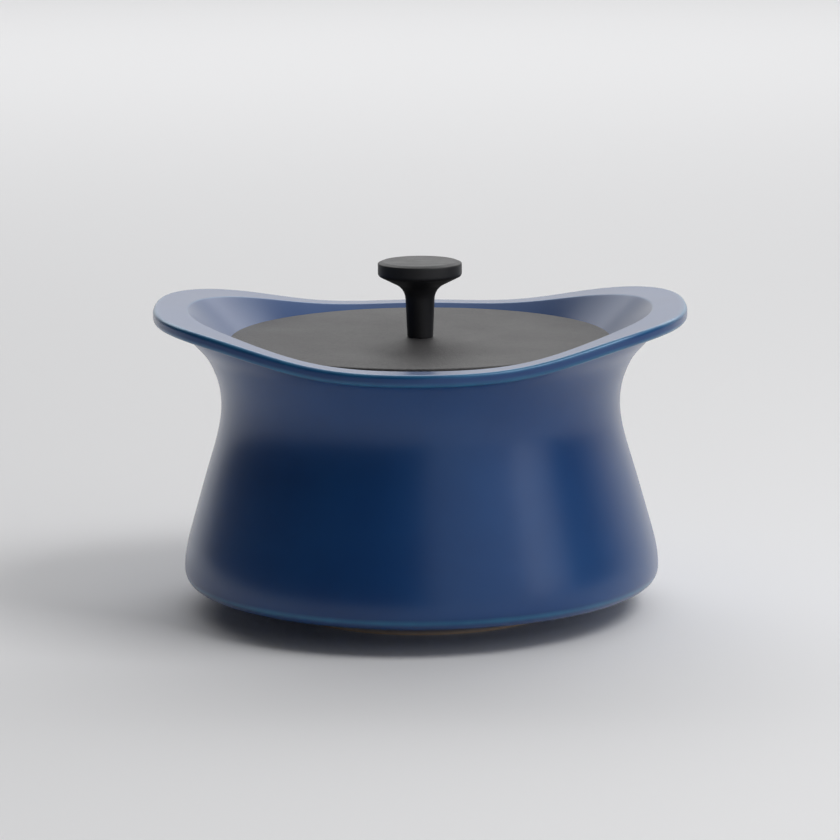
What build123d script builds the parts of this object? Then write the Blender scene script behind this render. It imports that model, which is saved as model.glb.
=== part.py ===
"""A stoneware casserole pot with a saddle-shaped brim, a cast iron plate lid and a screwed-on knob.

Millimetres, +Z up. The origin is on the pot's upright centre line, in the plane that the foot stands on.
X runs from ear to ear and Y from front to back.
"""
from build123d import *
from math import cos, radians, sin
import os

# ---- lid: sets the size of everything else -------------------------------------------------
LID_DIAMETER = 200.0
LID_THICKNESS = 5.0
LID_TOP = 142.8
LID_EDGE_ROUND = 1.2
LID_RADIUS = LID_DIAMETER / 2
LID_BOTTOM = LID_TOP - LID_THICKNESS
SPOT_FACE_RADIUS = 8.0
SPOT_FACE_DEPTH = 0.6

# ---- pot: wall ------------------------------------------------------------------------------
BELLY_RADIUS = 125.4
BELLY_HEIGHT = 21.5
WAIST_RADIUS = 105.0
WAIST_HEIGHT = 105.5
LOWER_EDGE = (110.5, 11.2)
LOWER_CORNER = (122.9, 14.9)
WALL_BELOW_WAIST = [(120.9, 45.0), (111.6, 77.0)]
WALL_ABOVE_WAIST = [(105.7, 118.0), (108.8, 128.0), (113.2, 136.0), (119.4, 143.0), (126.5, 154.0)]

# ---- pot: foot ring -------------------------------------------------------------------------
FOOT_OUTER_RADIUS = 74.5
FOOT_INNER_RADIUS = 66.0
FOOT_DRAFT = 2.5
FOOT_RECESS = 7.5
FOOT_SHOULDER = 8.6
FOOT_ROUNDS = [2.5, 1.0, 1.0, 2.5]

# ---- pot: cooking chamber and lid seat ------------------------------------------------------
FLOOR_TOP = 17.0
FLOOR_RADIUS = 102.5
FLOOR_CORNER_ROUND = 13.0
FLOOR_CORNER_ANGLE = 104.0
CHAMBER_WALL = [(103.0, 77.0), (96.7, 104.0)]
MOUTH_RADIUS = 95.5
MOUTH_ROUND = 2.0
SEAT_RADIUS = 101.0

# ---- pot: brim ------------------------------------------------------------------------------
# radii of the brim's outer edge and of its mouth, one for each step from +X round to +Y
OUTLINE_STEP = 15
BRIM_RADII = [139.4, 140.9, 138.3, 129.8, 123.8, 123.1, 124.2]
MOUTH_RADII = [121.8, 121.2, 118.0, 113.6, 111.2, 111.0, 111.5]
BRIM_LOW = 143.7
BRIM_RISE = 21.5
BRIM_RISE_PLACE = 96.0
BRIM_RISE_POWER = 3.9
BRIM_THICKNESS = 6.6
BRIM_OUTER_ROUND = 1.9
BRIM_INNER_ROUND = 2.4
UNDER_BRIM_ROUND = 5.0
BRIM_BLANK_BOTTOM = 130.0
BRIM_BLANK_TOP = 170.0
HALF_SPAN = 150
ABOVE_BRIM = 180.0
SADDLE_STEP = 10

# ---- knob and its fixings -------------------------------------------------------------------
KNOB_TOP = 182.9
KNOB_RADIUS = 22.0
KNOB_FACE_RADIUS = 19.6
KNOB_SHOULDER = 181.9
KNOB_RIM_BOTTOM = 175.4
STEM_TOP = 168.3
STEM_TOP_RADIUS = 7.9
STEM_FOOT_RADIUS = 6.75
KNOB_ROUNDS = [1.2, 0.8, 2.2, 9.0, 0.4]
THREAD_RADIUS = 2.5
THREAD_CLEARANCE = 0.05
INSERT_RADIUS = 4.0
INSERT_GROOVE_RADIUS = 3.4
INSERT_GROOVE_WIDTH = 3.0
INSERT_RECESS = 0.2
INSERT_LENGTH = 11.8
INSERT_BOTTOM = LID_TOP + INSERT_RECESS
INSERT_TOP = INSERT_BOTTOM + INSERT_LENGTH
INSERT_MIDDLE = (INSERT_BOTTOM + INSERT_TOP) / 2
LID_HOLE_RADIUS = 2.8
WASHER_HOLE_RADIUS = 2.65
FLAT_WASHER_RADIUS = 5.0
FLAT_WASHER_THICKNESS = 1.0
FLAT_WASHER_BOTTOM = LID_BOTTOM + SPOT_FACE_DEPTH - FLAT_WASHER_THICKNESS
SPRING_WASHER_RADIUS = 4.6
SPRING_WASHER_THICKNESS = 1.2
SPRING_WASHER_SPLIT = 0.8
SPRING_WASHER_BOTTOM = FLAT_WASHER_BOTTOM - SPRING_WASHER_THICKNESS
SCREW_HEAD_TOP = SPRING_WASHER_BOTTOM
SCREW_LENGTH = 16.0
SCREW_TIP_CHAMFER = 0.5
SCREW_HEAD_RADIUS = 4.75
SCREW_HEAD_HEIGHT = 3.5
SCREW_HEAD_ROUND = 1.6
CROSS_LENGTH = 4.6
CROSS_WIDTH = 1.3
CROSS_DEPTH = 1.9


def radius_at(radii, angle):
    """Radius at an angle in degrees, on an outline that is the same in all four quarters."""
    from_x = min(angle % 180, 180 - angle % 180)
    return radii[from_x // OUTLINE_STEP]


def brim_rise(x):
    """Share of the brim's full rise at distance x from the centre plane."""
    return 1 / (1 + (BRIM_RISE_PLACE / max(abs(x), 1.0)) ** BRIM_RISE_POWER)


def brim_top(x):
    return BRIM_LOW + BRIM_RISE * brim_rise(x)


def brim_bottom(x):
    return brim_top(x) - BRIM_THICKNESS


def brim_radius(angle):
    return radius_at(BRIM_RADII, angle)


def seat_radius(angle):
    return SEAT_RADIUS


def funnel_radius(angle):
    """Outline at the top of the funnel's blank, placed so that it meets the brim at the mouth."""
    mouth = radius_at(MOUTH_RADII, angle)
    climb = brim_top(mouth * cos(radians(angle))) - LID_BOTTOM
    return SEAT_RADIUS + (mouth - SEAT_RADIUS) * (BRIM_BLANK_TOP - LID_BOTTOM) / climb


def outline(radius_of):
    """Points of a closed plan outline whose radius is a function of the angle."""
    angles = range(0, 360, OUTLINE_STEP)
    return [(radius_of(a) * cos(radians(a)), radius_of(a) * sin(radians(a))) for a in angles]


def saddle_points(height_at):
    xs = range(-HALF_SPAN, HALF_SPAN + 1, SADDLE_STEP)
    return [(x, height_at(x)) for x in xs]


def is_rim(edge):
    """True for an edge that runs all the way round the brim."""
    return edge.length > 5 * BRIM_RADII[-1] and edge.center().Z > LID_TOP


# ---- brim blank: plan outline, open above and cut to a saddle below --------------------------
with BuildPart() as brim_blank:
    with BuildSketch(Plane.XY.offset(BRIM_BLANK_BOTTOM)):
        with BuildLine():
            Spline(outline(brim_radius), periodic=True)
        make_face()
    extrude(amount=BRIM_BLANK_TOP - BRIM_BLANK_BOTTOM)
    with BuildSketch(Plane.XZ.offset(-HALF_SPAN)):
        with BuildLine():
            underside = Spline(saddle_points(brim_bottom))
            Polyline(
                underside @ 0,
                (-HALF_SPAN, BRIM_BLANK_BOTTOM),
                (HALF_SPAN, BRIM_BLANK_BOTTOM),
                underside @ 1,
            )
        make_face()
    extrude(amount=2 * HALF_SPAN, mode=Mode.SUBTRACT)

# ---- space above the brim's top -------------------------------------------------------------
with BuildPart() as above_brim:
    with BuildSketch(Plane.XZ.offset(-HALF_SPAN)):
        with BuildLine():
            saddle = Spline(saddle_points(brim_top))
            Polyline(saddle @ 0, (-HALF_SPAN, ABOVE_BRIM), (HALF_SPAN, ABOVE_BRIM), saddle @ 1)
        make_face()
    extrude(amount=2 * HALF_SPAN)

# ---- cooking chamber with the lid's seat ----------------------------------------------------
with BuildPart() as chamber:
    with BuildSketch(Plane.XZ):
        with BuildLine():
            Line((0, FLOOR_TOP), (FLOOR_RADIUS, FLOOR_TOP))
            corner = JernArc((FLOOR_RADIUS, FLOOR_TOP), (1, 0), FLOOR_CORNER_ROUND, FLOOR_CORNER_ANGLE)
            mouth_start = (MOUTH_RADIUS, LID_BOTTOM - MOUTH_ROUND)
            Spline([corner @ 1, *CHAMBER_WALL, mouth_start], tangents=[corner % 1, (0, 1)])
            lip = JernArc(mouth_start, (0, 1), MOUTH_ROUND, -90)
            Polyline(lip @ 1, (0, LID_BOTTOM), (0, FLOOR_TOP))
        make_face()
    revolve(axis=Axis.Z)
    with BuildSketch(Plane.XY.offset(LID_BOTTOM)):
        with BuildLine():
            Spline(outline(seat_radius), periodic=True)
        make_face()
    with BuildSketch(Plane.XY.offset(BRIM_BLANK_TOP)):
        with BuildLine():
            Spline(outline(funnel_radius), periodic=True)
        make_face()
    loft(ruled=True)

# ---- pot body -------------------------------------------------------------------------------
with BuildPart() as pot_body:
    with BuildSketch(Plane.XZ):
        with BuildLine():
            FilletPolyline(
                (0, FOOT_RECESS),
                (FOOT_INNER_RADIUS - FOOT_DRAFT, FOOT_RECESS),
                (FOOT_INNER_RADIUS, 0),
                (FOOT_OUTER_RADIUS, 0),
                (FOOT_OUTER_RADIUS + FOOT_DRAFT, FOOT_SHOULDER),
                LOWER_EDGE,
                radius=FOOT_ROUNDS,
            )
            Spline([LOWER_EDGE, LOWER_CORNER, (BELLY_RADIUS, BELLY_HEIGHT)], tangents=[(1, 0.1), (0, 1)])
            wall = Spline(
                [
                    (BELLY_RADIUS, BELLY_HEIGHT),
                    *WALL_BELOW_WAIST,
                    (WAIST_RADIUS, WAIST_HEIGHT),
                    *WALL_ABOVE_WAIST,
                ],
                tangents=[(0, 1), (0.5, 1)],
            )
            Polyline(wall @ 1, (0, (wall @ 1).Y), (0, FOOT_RECESS))
        make_face()
    revolve(axis=Axis.Z)
    add(brim_blank.part)
    add(above_brim.part, mode=Mode.SUBTRACT)
    add(chamber.part, mode=Mode.SUBTRACT)
    fillet(pot_body.edges().filter_by(is_rim).sort_by(Axis.Z)[-1], radius=BRIM_OUTER_ROUND)
    fillet(pot_body.edges().filter_by(is_rim).sort_by(Edge.length)[0], radius=BRIM_INNER_ROUND)
    fillet(pot_body.edges().filter_by(is_rim).sort_by(Axis.Z)[0], radius=UNDER_BRIM_ROUND)

# ---- lid ------------------------------------------------------------------------------------
with BuildPart() as lid:
    with BuildSketch(Plane.XY.offset(LID_BOTTOM)):
        Circle(LID_RADIUS)
        Circle(LID_HOLE_RADIUS, mode=Mode.SUBTRACT)
    extrude(amount=LID_THICKNESS)
    fillet(lid.edges().filter_by(GeomType.CIRCLE).sort_by(Edge.length)[-2:], radius=LID_EDGE_ROUND)
    with BuildSketch(Plane.XY.offset(LID_BOTTOM)):
        Circle(SPOT_FACE_RADIUS)
    extrude(amount=SPOT_FACE_DEPTH, mode=Mode.SUBTRACT)

# ---- threaded insert, moulded into the knob's stem -------------------------------------------
with BuildPart() as knob_insert:
    with BuildSketch(Plane.XZ):
        with BuildLine():
            Polyline(
                (THREAD_RADIUS, INSERT_BOTTOM),
                (INSERT_RADIUS, INSERT_BOTTOM),
                (INSERT_RADIUS, INSERT_MIDDLE - INSERT_GROOVE_WIDTH / 2),
                (INSERT_GROOVE_RADIUS, INSERT_MIDDLE - INSERT_GROOVE_WIDTH / 2),
                (INSERT_GROOVE_RADIUS, INSERT_MIDDLE + INSERT_GROOVE_WIDTH / 2),
                (INSERT_RADIUS, INSERT_MIDDLE + INSERT_GROOVE_WIDTH / 2),
                (INSERT_RADIUS, INSERT_TOP),
                (THREAD_RADIUS, INSERT_TOP),
                close=True,
            )
        make_face()
    revolve(axis=Axis.Z)

# ---- knob -----------------------------------------------------------------------------------
with BuildPart() as knob:
    with BuildSketch(Plane.XZ):
        with BuildLine():
            FilletPolyline(
                (0, KNOB_TOP),
                (KNOB_FACE_RADIUS, KNOB_TOP),
                (KNOB_RADIUS, KNOB_SHOULDER),
                (KNOB_RADIUS, KNOB_RIM_BOTTOM),
                (STEM_TOP_RADIUS, STEM_TOP),
                (STEM_FOOT_RADIUS, LID_TOP),
                (0, LID_TOP),
                radius=KNOB_ROUNDS,
            )
            Line((0, LID_TOP), (0, KNOB_TOP))
        make_face()
    revolve(axis=Axis.Z)
    with BuildSketch(Plane.XY.offset(LID_TOP)):
        Circle(INSERT_RADIUS)
    extrude(amount=INSERT_TOP - LID_TOP, mode=Mode.SUBTRACT)
    with BuildSketch(Plane.XY.offset(INSERT_MIDDLE - INSERT_GROOVE_WIDTH / 2)):
        Circle(INSERT_RADIUS)
        Circle(INSERT_GROOVE_RADIUS, mode=Mode.SUBTRACT)
    extrude(amount=INSERT_GROOVE_WIDTH)

# ---- washers under the lid ------------------------------------------------------------------
with BuildPart() as flat_washer:
    with BuildSketch(Plane.XY.offset(FLAT_WASHER_BOTTOM)):
        Circle(FLAT_WASHER_RADIUS)
        Circle(WASHER_HOLE_RADIUS, mode=Mode.SUBTRACT)
    extrude(amount=FLAT_WASHER_THICKNESS)

with BuildPart() as spring_washer:
    with BuildSketch(Plane.XY.offset(SPRING_WASHER_BOTTOM)):
        Circle(SPRING_WASHER_RADIUS)
        Circle(WASHER_HOLE_RADIUS, mode=Mode.SUBTRACT)
        with Locations((SPRING_WASHER_RADIUS, 0)):
            Rectangle(2 * SPRING_WASHER_RADIUS, SPRING_WASHER_SPLIT, mode=Mode.SUBTRACT)
    extrude(amount=SPRING_WASHER_THICKNESS)

# ---- screw, driven from below ---------------------------------------------------------------
with BuildPart() as knob_screw:
    with BuildSketch(Plane.XY.offset(SCREW_HEAD_TOP - SCREW_HEAD_HEIGHT)):
        Circle(SCREW_HEAD_RADIUS)
    extrude(amount=SCREW_HEAD_HEIGHT)
    fillet(knob_screw.edges().filter_by(GeomType.CIRCLE).sort_by(Axis.Z)[0], radius=SCREW_HEAD_ROUND)
    with BuildSketch(Plane.XY.offset(SCREW_HEAD_TOP)):
        Circle(THREAD_RADIUS - THREAD_CLEARANCE)
    extrude(amount=SCREW_LENGTH)
    chamfer(knob_screw.edges().filter_by(GeomType.CIRCLE).sort_by(Axis.Z)[-1], length=SCREW_TIP_CHAMFER)
    with BuildSketch(Plane.XY.offset(SCREW_HEAD_TOP - SCREW_HEAD_HEIGHT)):
        Rectangle(CROSS_LENGTH, CROSS_WIDTH)
        Rectangle(CROSS_WIDTH, CROSS_LENGTH)
    extrude(amount=CROSS_DEPTH, mode=Mode.SUBTRACT)

# ---- one file per piece ---------------------------------------------------------------------
pieces = {
    "pot_body": pot_body,
    "lid": lid,
    "knob": knob,
    "knob_insert": knob_insert,
    "knob_screw": knob_screw,
    "flat_washer": flat_washer,
    "spring_washer": spring_washer,
}
os.makedirs("parts", exist_ok=True)
for name, piece in pieces.items():
    piece.part.label = name
    export_step(piece.part, f"parts/{name}.step")
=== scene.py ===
"""Looks for the stoneware casserole pot: a smooth glazed body, a turned lid and knob, studio light."""
from math import cos, pi, radians, sin

import bmesh
import bpy
import numpy as np
from mathutils import Euler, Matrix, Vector


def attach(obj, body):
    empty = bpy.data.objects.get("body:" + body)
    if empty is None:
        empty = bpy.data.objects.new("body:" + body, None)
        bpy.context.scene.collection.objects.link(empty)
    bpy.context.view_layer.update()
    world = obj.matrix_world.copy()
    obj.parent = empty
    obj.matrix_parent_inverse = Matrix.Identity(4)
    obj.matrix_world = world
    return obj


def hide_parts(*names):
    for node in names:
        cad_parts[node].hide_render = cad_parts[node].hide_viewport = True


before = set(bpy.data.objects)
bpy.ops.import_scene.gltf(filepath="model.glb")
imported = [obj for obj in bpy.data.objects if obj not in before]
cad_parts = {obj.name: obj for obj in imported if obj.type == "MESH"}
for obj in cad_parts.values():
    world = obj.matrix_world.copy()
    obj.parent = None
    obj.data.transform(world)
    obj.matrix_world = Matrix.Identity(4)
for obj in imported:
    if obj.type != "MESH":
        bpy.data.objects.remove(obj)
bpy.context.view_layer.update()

MM = 0.001
TURNS = 360                     # steps round a turned piece

# ---- sizes in millimetres ------------------------------------------------------------------
# They follow the CAD, with these differences: the body's lower edge and corner sit a little higher,
# the brim's lower outer edge is rounded, and a few small rounds are added to the lid and the knob.
LID_RADIUS = 100.0
LID_TOP = 142.8
LID_BOTTOM = 137.8
BELLY = (125.4, 21.5)
WAIST = (105.0, 105.5)
LOWER_EDGE = (112.0, 13.4)
LOWER_CORNER = (123.0, 15.6)
WALL = [BELLY, (120.9, 45.0), (111.6, 77.0), WAIST,
        (105.7, 118.0), (108.8, 128.0), (113.2, 136.0), (119.4, 143.0), (126.5, 154.0)]
FOOT = [(63.5, 7.5), (66.0, 0.0), (74.5, 0.0), (77.0, 8.6)]
FOOT_ROUNDS = [2.5, 1.0, 1.0, 2.5]
FLOOR_TOP = 17.0
FLOOR_RADIUS = 102.5
FLOOR_CORNER_ROUND = 13.0
FLOOR_CORNER_ANGLE = radians(104.0)
CHAMBER_WALL = [(103.0, 77.0), (96.7, 104.0)]
MOUTH_RADIUS = 95.5
MOUTH_ROUND = 2.0
SEAT_RADIUS = 101.0
OUTLINE_STEP = 15
BRIM_RADII = [139.4, 140.9, 138.3, 129.8, 123.8, 123.1, 124.2]
MOUTH_RADII = [121.8, 121.2, 118.0, 113.6, 111.2, 111.0, 111.5]
BRIM_LOW = 143.7
BRIM_RISE = 21.5
BRIM_RISE_PLACE = 96.0
BRIM_RISE_POWER = 3.9
BRIM_THICKNESS = 6.6
BRIM_TOP_ROUND = 1.9
BRIM_EDGE_ROUND = 2.6
MOUTH_EDGE_ROUND = 2.4
UNDER_BRIM_ROUND = 5.0
KNOB_TOP = 182.9
KNOB_FACE_RADIUS = 19.6
KNOB_SHOULDER = 181.9
KNOB_RADIUS = 22.0
KNOB_RIM_BOTTOM = 175.4
STEM_TOP = 168.3
STEM_TOP_RADIUS = 7.9
STEM_FOOT_RADIUS = 6.75
KNOB_ROUNDS = [1.2, 0.8, 2.2, 9.0, 0.4, 0.1, 0.1]
INSERT_RADIUS = 4.0
INSERT_HOLE_TOP = 154.8
LID_HOLE_RADIUS = 2.8
SPOT_FACE_RADIUS = 8.0
SPOT_FACE_DEPTH = 0.6
LID_ROUNDS = [0.2, 0.2, 1.2, 1.2, 0.2]

# ---- how finely the body is divided --------------------------------------------------------
CORNER_ROWS = 18
WALL_POINTS = 400               # points on the wall's curve before it is cut at the brim
BRIM_START = 12                 # points below the brim where the round under it sets out
UNDER_BRIM_STEPS = 12
WALL_ROWS = 90
EDGE_STEPS = 8
CLAY_TOP = 1.3                  # bare clay up to this height


# ---- outlines and profiles -----------------------------------------------------------------
def unit(v):
    return v / np.linalg.norm(v, axis=-1, keepdims=True)


def four_fold(radii, angles):
    """A smooth outline through radii that are OUTLINE_STEP degrees apart, the same in all four quarters."""
    spans = len(radii) - 1
    share = np.ones(spans + 1)
    share[[0, -1]] = 0.5
    total = np.zeros_like(angles)
    for k in range(spans + 1):
        wave = sum(share[i] * radii[i] * cos(pi * i * k / spans) for i in range(spans + 1))
        total += share[k] * wave * 2 / spans * np.cos(2 * k * angles)
    return total


def brim_rise(x):
    return 1 / (1 + (BRIM_RISE_PLACE / np.maximum(np.abs(x), 1.0)) ** BRIM_RISE_POWER)


def brim_top(x):
    return BRIM_LOW + BRIM_RISE * brim_rise(x)


def brim_bottom(x):
    return brim_top(x) - BRIM_THICKNESS


def clamped_spline(points, start, end, count):
    """Evenly spread points on a smooth curve through points, leaving and arriving along start and end."""
    p = np.array(points, float)
    h = np.linalg.norm(np.diff(p, axis=0), axis=1)
    n = len(p)
    a = np.eye(n)
    b = np.zeros((n, 2))
    b[0] = unit(np.array(start, float))
    b[-1] = unit(np.array(end, float))
    for i in range(1, n - 1):
        a[i, i - 1:i + 2] = h[i], 2 * (h[i - 1] + h[i]), h[i - 1]
        b[i] = 3 * (h[i] * (p[i] - p[i - 1]) / h[i - 1] + h[i - 1] * (p[i + 1] - p[i]) / h[i])
    m = np.linalg.solve(a, b)
    knots = np.concatenate([[0], np.cumsum(h)])
    s = np.linspace(0, knots[-1], count)
    i = np.clip(np.searchsorted(knots, s, side="right") - 1, 0, n - 2)
    t = ((s - knots[i]) / h[i])[:, None]
    d = h[i][:, None]
    return ((1 + 2 * t) * (1 - t) ** 2 * p[i] + t * (1 - t) ** 2 * d * m[i]
            + t * t * (3 - 2 * t) * p[i + 1] + t * t * (t - 1) * d * m[i + 1])


def corner_arc(before, corner, after, radius, steps):
    """Rounds one corner of many profiles at once. Takes (N, 2) arrays, returns (steps + 1, N, 2)."""
    u, v = unit(before - corner), unit(after - corner)
    half = np.arccos(np.clip((u * v).sum(-1, keepdims=True), -1, 1)) / 2
    start = corner + u * radius / np.tan(half)
    end = corner + v * radius / np.tan(half)
    centre = corner + unit(u + v) * radius / np.sin(half)
    sweep = pi - 2 * half
    out = []
    for s in np.linspace(0, 1, steps + 1):
        out.append(centre + (np.sin((1 - s) * sweep) * (start - centre)
                             + np.sin(s * sweep) * (end - centre)) / np.sin(sweep))
    return np.array(out)


def stretch(a, b, steps):
    """Points strictly between a and b, as (steps - 1, ..., 2)."""
    return np.array([a + (b - a) * s for s in np.linspace(0, 1, steps + 1)[1:-1]])


def rounded_profile(points, radii, spacing=2.0, steps=6):
    """One lathe profile through points, with each inner corner rounded by its radius (0 leaves it sharp)."""
    pts = [np.array(p, float) for p in points]
    pieces = [pts[0][None]]
    for i in range(1, len(pts) - 1):
        if radii[i - 1] > 0:
            arc = corner_arc(pts[i - 1][None], pts[i][None], pts[i + 1][None], radii[i - 1], steps)[:, 0]
        else:
            arc = pts[i][None]
        pieces.append(arc)
    pieces.append(pts[-1][None])
    out = [pieces[0]]
    for piece in pieces[1:]:
        a, b = out[-1][-1], piece[0]
        parts = max(1, int(np.linalg.norm(b - a) / spacing))
        if parts > 1:
            out.append(stretch(a, b, parts))
        out.append(piece)
    return np.concatenate(out)


# ---- mesh helpers --------------------------------------------------------------------------
def turned_mesh(name, rows, angles, masks=None, closed=False):
    """A closed skin from rows of (radius, height) pairs, each row one ring round Z.

    rows is (rows, angles, 2) in millimetres. A row of zero radius is one point.
    masks gives one value a row, under the name of a point attribute.
    """
    verts, values, index = [], {k: [] for k in (masks or {})}, []
    for r, row in enumerate(rows):
        pole = np.allclose(row[:, 0], 0)
        ring = row[:1] if pole else row
        turn = angles[:1] if pole else angles
        start = len(verts)
        verts.extend(np.c_[ring[:, 0] * np.cos(turn), ring[:, 0] * np.sin(turn), ring[:, 1]] * MM)
        for k in values:
            values[k].extend([masks[k][r]] * len(ring))
        index.append([start] * len(angles) if pole else list(range(start, start + len(angles))))
    faces = []
    pairs = list(zip(index, index[1:])) + ([(index[-1], index[0])] if closed else [])
    n = len(angles)
    for low, high in pairs:
        for i in range(n):
            j = (i + 1) % n
            quad = [low[i], low[j], high[j], high[i]]
            face = [v for k, v in enumerate(quad) if v != quad[k - 1]]
            if len(face) > 2:
                faces.append(face)
    mesh = bpy.data.meshes.new(name)
    mesh.from_pydata([tuple(v) for v in verts], [], faces)
    for k, v in values.items():
        mesh.attributes.new(k, "FLOAT", "POINT").data.foreach_set("value", np.array(v, np.float32))
    mesh.update()
    build = bmesh.new()
    build.from_mesh(mesh)
    bmesh.ops.recalc_face_normals(build, faces=build.faces)
    build.to_mesh(mesh)
    build.free()
    mesh.shade_smooth()
    piece = bpy.data.objects.new(name, mesh)
    bpy.context.scene.collection.objects.link(piece)
    return piece


def lathe(name, profile, closed=False, turns=TURNS):
    angles = np.linspace(0, 2 * pi, turns, endpoint=False)
    rows = np.repeat(np.array(profile)[:, None, :], turns, axis=1)
    return turned_mesh(name, rows, angles, closed=closed)


# ---- pot body ------------------------------------------------------------------------------
def bump(rows, centre, width):
    """1 at row index centre, falling to 0 at width rows away."""
    return np.clip(1 - np.abs(rows - centre) / width, 0, 1)


def pot_body():
    turns = 2 * TURNS
    angles = np.linspace(0, 2 * pi, turns, endpoint=False)
    across = np.cos(angles)
    brim, mouth = four_fold(BRIM_RADII, angles), four_fold(MOUTH_RADII, angles)

    def every(profile):
        """The same profile at every angle."""
        return np.repeat(np.array(profile, float)[:, None, :], turns, axis=1)

    foot = rounded_profile([(0, FOOT[0][1]), *FOOT, LOWER_EDGE], FOOT_ROUNDS, spacing=3.0)
    corner = clamped_spline([LOWER_EDGE, LOWER_CORNER, BELLY], (1, 0.1), (0, 1), CORNER_ROWS)[1:]

    # the wall, up to where it meets the brim's underside
    wall = clamped_spline(WALL, (0, 1), (0.5, 1), WALL_POINTS)
    gap = brim_bottom(wall[:, 0][:, None] * across) - wall[:, 1][:, None]
    meet = np.argmax(gap <= 0, axis=0)
    under = wall[meet].copy()
    under[:, 1] = brim_bottom(under[:, 0] * across)
    below = wall[meet - BRIM_START]
    edge_low = np.c_[brim, brim_bottom(brim * across)]
    edge_high = np.c_[brim, brim_top(brim * across)]
    lip = np.c_[mouth, brim_top(mouth * across)]
    seat = np.c_[np.full(turns, SEAT_RADIUS), np.full(turns, LID_BOTTOM)]

    sweep = corner_arc(below, under, edge_low, UNDER_BRIM_ROUND, UNDER_BRIM_STEPS)
    length = sweep[0][:, 1] - BELLY[1]
    heights = BELLY[1] + length * np.linspace(0, 1, WALL_ROWS)[1:-1, None]
    walls = np.stack([np.interp(heights, wall[:, 1], wall[:, 0]), heights], axis=-1)
    outer_low = corner_arc(under, edge_low, edge_high, BRIM_EDGE_ROUND, EDGE_STEPS)
    outer_high = corner_arc(edge_low, edge_high, lip, BRIM_TOP_ROUND, EDGE_STEPS)
    inner = corner_arc(edge_high, lip, seat, MOUTH_EDGE_ROUND, EDGE_STEPS)

    start = (FLOOR_RADIUS, FLOOR_TOP)
    sweep_angles = np.linspace(-pi / 2, FLOOR_CORNER_ANGLE - pi / 2, 14)
    floor_corner = np.c_[start[0] + FLOOR_CORNER_ROUND * np.cos(sweep_angles),
                         start[1] + FLOOR_CORNER_ROUND * (1 + np.sin(sweep_angles))]
    leaving = (-sin(FLOOR_CORNER_ANGLE - pi / 2), cos(FLOOR_CORNER_ANGLE - pi / 2))
    lip_start = (MOUTH_RADIUS, LID_BOTTOM - MOUTH_ROUND)
    chamber = clamped_spline([tuple(floor_corner[-1]), *CHAMBER_WALL, lip_start], leaving, (0, 1), 50)
    turn = np.linspace(0, pi / 2, 7)
    mouth_lip = np.c_[MOUTH_RADIUS + MOUTH_ROUND * (1 - np.cos(turn)),
                      LID_BOTTOM - MOUTH_ROUND + MOUTH_ROUND * np.sin(turn)]
    inside = np.concatenate([[(0, FLOOR_TOP)], stretch(np.array((0, FLOOR_TOP)), np.array(start), 20),
                             floor_corner, chamber[1:], mouth_lip[1:]])[::-1]

    parts = [every(foot), every(corner), walls, sweep,
             stretch(sweep[-1], outer_low[0], 6), outer_low,
             stretch(outer_low[-1], outer_high[0], 4), outer_high,
             stretch(outer_high[-1], inner[0], 10), inner,
             stretch(inner[-1], seat, 14), seat[None], every(inside)]
    rows = np.concatenate(parts)
    ends = np.cumsum([len(p) for p in parts])
    number = np.arange(len(rows))
    # teal lines, partly glaze running thin and partly a painted highlight along each edge: the lower corner,
    # the brim's two outer edges, and the mouth's edge.
    # Each line has the row it lies on and how many rows it takes to fade.
    thin_glaze_and_highlight = np.maximum.reduce([
        bump(number, ends[0] + 13, 2.5),
        bump(number, (ends[4] + ends[5]) / 2, 6),
        bump(number, (ends[6] + ends[7]) / 2, 6.5),
        0.55 * bump(number, (ends[8] + ends[9]) / 2, 6),
    ])
    bare = (rows[:, 0, 1] < CLAY_TOP).astype(float)
    return turned_mesh("pot_glazed", rows, angles, {"thin_glaze_and_highlight": thin_glaze_and_highlight, "bare": bare})


# ---- lid and knob --------------------------------------------------------------------------
def lid_plate():
    """The plate, with its hole for the screw and a shallow spot face under it for the washers."""
    spot = LID_BOTTOM + SPOT_FACE_DEPTH
    profile = rounded_profile(
        [(LID_HOLE_RADIUS, spot), (SPOT_FACE_RADIUS, spot), (SPOT_FACE_RADIUS, LID_BOTTOM),
         (LID_RADIUS, LID_BOTTOM), (LID_RADIUS, LID_TOP), (LID_HOLE_RADIUS, LID_TOP),
         (LID_HOLE_RADIUS, spot)],
        LID_ROUNDS, spacing=3.0)[:-1]
    return lathe("lid_plate", profile, closed=True)


def knob_handle():
    """The T-shaped knob, with the hole in its foot that holds the insert."""
    profile = rounded_profile(
        [(0, KNOB_TOP), (KNOB_FACE_RADIUS, KNOB_TOP), (KNOB_RADIUS, KNOB_SHOULDER),
         (KNOB_RADIUS, KNOB_RIM_BOTTOM), (STEM_TOP_RADIUS, STEM_TOP), (STEM_FOOT_RADIUS, LID_TOP),
         (INSERT_RADIUS, LID_TOP), (INSERT_RADIUS, INSERT_HOLE_TOP), (0, INSERT_HOLE_TOP)],
        KNOB_ROUNDS, spacing=1.5, steps=10)
    return lathe("knob_handle", profile, turns=192)


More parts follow.
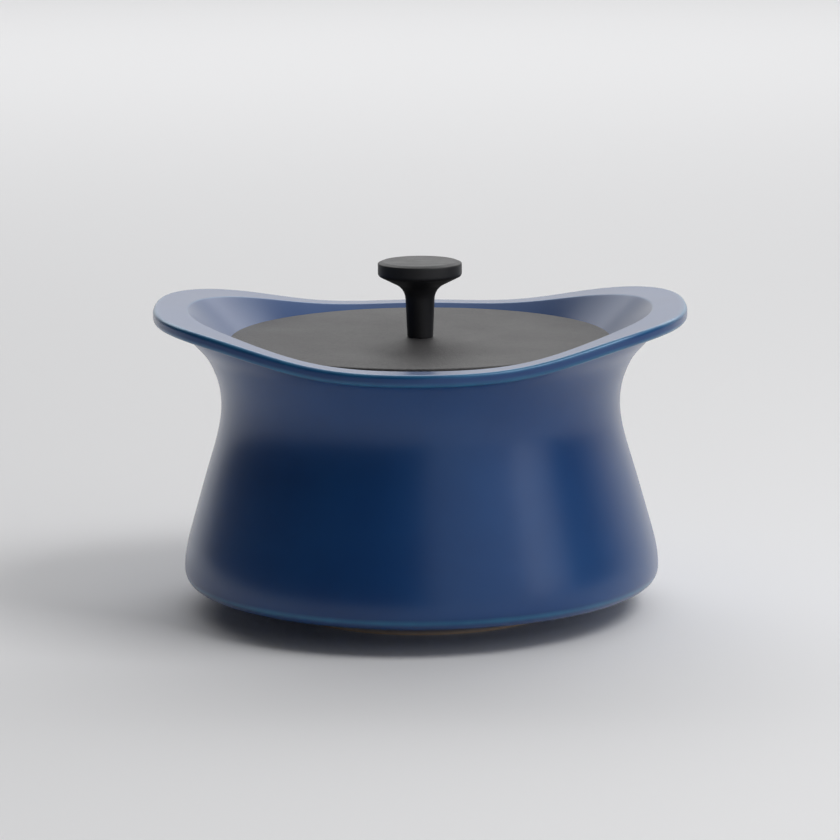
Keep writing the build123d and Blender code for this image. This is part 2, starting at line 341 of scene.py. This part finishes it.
# ---- materials -----------------------------------------------------------------------------
class Nodes:
    """Short names for building one material."""

    def __init__(self, name):
        self.material = bpy.data.materials.new(name)
        self.material.use_nodes = True
        self.tree = self.material.node_tree
        self.shader = self.tree.nodes["Principled BSDF"]
        self.place = self.add("ShaderNodeTexCoord").outputs["Object"]

    def add(self, kind, **settings):
        node = self.tree.nodes.new(kind)
        for key, value in settings.items():
            setattr(node, key, value)
        return node

    def link(self, a, b):
        self.tree.links.new(a, b)

    def noise(self, scale, detail=3.0, roughness=0.5):
        node = self.add("ShaderNodeTexNoise")
        node.inputs["Scale"].default_value = scale
        node.inputs["Detail"].default_value = detail
        node.inputs["Roughness"].default_value = roughness
        self.link(self.place, node.inputs["Vector"])
        return node.outputs["Fac"]

    def spread(self, value, low, high, to_low=0.0, to_high=1.0):
        node = self.add("ShaderNodeMapRange")
        limits = (("From Min", low), ("From Max", high), ("To Min", to_low), ("To Max", to_high))
        for key, number in limits:
            node.inputs[key].default_value = number
        self.link(value, node.inputs["Value"])
        return node.outputs["Result"]

    def mix(self, share, a, b):
        node = self.add("ShaderNodeMix", data_type="RGBA")
        for socket, value in (("Factor", share), ("A", a), ("B", b)):
            wanted = [s for s in node.inputs if s.name == socket and s.enabled][0]
            if isinstance(value, tuple):
                wanted.default_value = (*value, 1.0)
            else:
                self.link(value, wanted)
        return [s for s in node.outputs if s.enabled][0]

    def math(self, operation, a, b):
        node = self.add("ShaderNodeMath", operation=operation)
        for socket, value in zip(node.inputs, (a, b)):
            if isinstance(value, (int, float)):
                socket.default_value = value
            else:
                self.link(value, socket)
        return node.outputs[0]

    def bump(self, height, distance, strength):
        node = self.add("ShaderNodeBump")
        node.inputs["Distance"].default_value = distance
        node.inputs["Strength"].default_value = strength
        self.link(height, node.inputs["Height"])
        self.link(node.outputs["Normal"], self.shader.inputs["Normal"])

    def set(self, **values):
        for key, value in values.items():
            socket = self.shader.inputs[key.replace("_", " ")]
            if isinstance(value, (int, float)):
                socket.default_value = value
            else:
                self.link(value, socket)


def glaze():
    """Navy glaze, teal on the edges where the glaze runs thin and as a painted highlight, bare clay under
    the foot.
    """
    n = Nodes("navy_glaze")
    cloud = n.noise(14.0, 4.0)
    body = n.mix(n.spread(cloud, 0.3, 0.7), (0.002, 0.042, 0.165), (0.004, 0.056, 0.2))
    thin_glaze_and_highlight = n.add("ShaderNodeAttribute", attribute_name="thin_glaze_and_highlight").outputs["Fac"]
    ragged = n.math("MULTIPLY", thin_glaze_and_highlight, n.spread(n.noise(60.0, 3.0), 0.3, 0.7, 0.75, 1.15))
    # teal on the edge rows: partly thinner glaze, partly a painted highlight line along each edge
    edge = n.mix(n.spread(ragged, 0.25, 0.95), body, (0.012, 0.13, 0.27))
    clay = n.mix(n.noise(300.0, 4.0), (0.6, 0.47, 0.35), (0.72, 0.58, 0.45))
    bare = n.add("ShaderNodeAttribute", attribute_name="bare").outputs["Fac"]
    n.set(Base_Color=n.mix(bare, edge, clay))
    glazed = n.math("SUBTRACT", 1.0, bare)
    n.set(Roughness=0.45, Metallic=n.math("MULTIPLY", glazed, 0.28))
    n.set(Specular_IOR_Level=0.2, Coat_Weight=glazed, Coat_Roughness=0.26, Coat_IOR=1.42)
    n.bump(n.noise(45.0, 1.0), 0.00016, 0.5)
    return n.material


def cast_iron():
    n = Nodes("cast_iron_grain")
    grain = n.noise(850.0, 3.0, 0.6)
    patch = n.noise(25.0, 4.0)
    tone = n.mix(n.spread(patch, 0.3, 0.7), (0.034, 0.033, 0.034), (0.046, 0.044, 0.046))
    n.set(Base_Color=n.mix(n.spread(grain, 0.35, 0.65, 0.0, 0.85), tone, (0.016, 0.015, 0.016)))
    n.set(Roughness=n.spread(patch, 0.3, 0.7, 0.5, 0.58), Specular_IOR_Level=0.42)
    n.bump(grain, 0.0005, 0.8)
    return n.material


def black_plastic():
    n = Nodes("black_phenolic")
    fine = n.noise(2500.0, 2.0)
    n.set(Base_Color=n.mix(n.noise(40.0, 3.0), (0.012, 0.012, 0.014), (0.018, 0.018, 0.02)))
    n.set(Roughness=n.spread(n.noise(120.0, 3.0), 0.3, 0.7, 0.42, 0.5), Specular_IOR_Level=0.4)
    n.bump(fine, 0.00008, 0.4)
    return n.material


def metal(name, colour, scratch):
    n = Nodes(name)
    n.set(Base_Color=n.mix(n.noise(200.0, 3.0), tuple(0.85 * c for c in colour), colour), Metallic=1.0)
    n.set(Roughness=n.spread(n.noise(scratch, 3.0), 0.3, 0.7, 0.25, 0.4))
    n.bump(n.noise(scratch, 2.0), 0.00002, 0.5)
    return n.material


def dress(piece, material):
    piece.data.materials.clear()
    piece.data.materials.append(material)


pot = pot_body()
dress(pot, glaze())
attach(pot, "pot")
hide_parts("pot_body")

lid = lid_plate()
dress(lid, cast_iron())
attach(lid, "lid_assembly")
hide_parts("lid")

knob = knob_handle()
dress(knob, black_plastic())
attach(knob, "lid_assembly")
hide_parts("knob")

steel = metal("zinc_steel", (0.62, 0.62, 0.6), 700.0)
for node in ("knob_screw", "flat_washer", "spring_washer"):
    dress(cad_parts[node], steel)
dress(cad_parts["knob_insert"], metal("turned_brass", (0.72, 0.53, 0.25), 900.0))


# ---- stage: floor, lights, sky, camera, in metres ------------------------------------------
def plain(name, colour):
    material = bpy.data.materials.new(name)
    material.use_nodes = True
    shader = material.node_tree.nodes["Principled BSDF"]
    shader.inputs["Base Color"].default_value = (*colour, 1)
    shader.inputs["Roughness"].default_value = 0.9
    shader.inputs["Specular IOR Level"].default_value = 0.1
    return material


def sheet(name, corners, material):
    mesh = bpy.data.meshes.new(name)
    mesh.from_pydata(corners, [], [tuple(range(len(corners)))])
    obj = bpy.data.objects.new(name, mesh)
    bpy.context.scene.collection.objects.link(obj)
    mesh.materials.append(material)


FLOOR_HALF = 8.0
sheet("floor",
      [(x * FLOOR_HALF, y * FLOOR_HALF, 0) for x, y in ((-1, -1), (1, -1), (1, 1), (-1, 1))],
      plain("floor_pale", (0.8, 0.8, 0.81)))


def area_light(name, place, target, size, power):
    data = bpy.data.lights.new(name, "AREA")
    data.shape = "RECTANGLE"
    data.size, data.size_y = size
    data.energy = power
    lamp = bpy.data.objects.new(name, data)
    lamp.location = place
    lamp.rotation_euler = (Vector(target) - Vector(place)).to_track_quat("-Z", "Y").to_euler()
    bpy.context.scene.collection.objects.link(lamp)


area_light("key_right", (1.2, -0.5, 1.75), (0, 0, 0), (1.1, 0.9), 19.0)
area_light("overhead_fill", (0, 0.5, 3.0), (0, 0.5, 0), (4.0, 3.4), 18.0)
area_light("right_box", (1.24, -0.66, 0.6), (0, 0, 0.1), (0.6, 1.1), 2.1)
area_light("front_right_wide", (1.1, -1.65, 0.6), (0, 0, 0.1), (2.4, 1.6), 6.5)
area_light("far_floor", (0.0, 3.7, 2.8), (0.0, 3.5, 0), (7.0, 3.4), 130.0)


def sky(dark, bright):
    """World light by direction: bright behind the pot and a little to the right, dark in front."""
    world = bpy.data.worlds.new("studio")
    bpy.context.scene.world = world
    world.use_nodes = True
    tree = world.node_tree
    place = tree.nodes.new("ShaderNodeTexCoord").outputs["Generated"]
    side = tree.nodes.new("ShaderNodeVectorMath")
    side.operation = "DOT_PRODUCT"
    side.inputs[1].default_value = (0.25, 0.95, 0.1)
    ramp = tree.nodes.new("ShaderNodeMapRange")
    ramp.interpolation_type = "SMOOTHSTEP"
    limits = (("From Min", 0.3), ("From Max", 0.95), ("To Min", dark), ("To Max", bright))
    for key, number in limits:
        ramp.inputs[key].default_value = number
    back = tree.nodes["Background"]
    back.inputs["Color"].default_value = (1, 1, 1, 1)
    tree.links.new(place, side.inputs[0])
    tree.links.new(side.outputs["Value"], ramp.inputs["Value"])
    tree.links.new(ramp.outputs["Result"], back.inputs["Strength"])


sky(0.04, 0.85)

CAMERA_PLACE = (-0.0004, -1.9, 0.456)
CAMERA_PITCH = 0.1861
CAMERA_ROLL = radians(-0.35)
CAMERA_LENS = 157.2
SENSOR_WIDTH = 36.0

camera_data = bpy.data.cameras.new("camera")
camera_data.lens = CAMERA_LENS
camera_data.sensor_width = SENSOR_WIDTH
camera_data.clip_end = 50
camera = bpy.data.objects.new("camera", camera_data)
camera.location = CAMERA_PLACE
look = Euler((pi / 2 - CAMERA_PITCH, 0, 0)).to_matrix() @ Euler((0, 0, CAMERA_ROLL)).to_matrix()
camera.rotation_euler = look.to_euler()
bpy.context.scene.collection.objects.link(camera)
bpy.context.scene.camera = camera
bpy.context.scene.view_settings.view_transform = "Standard"
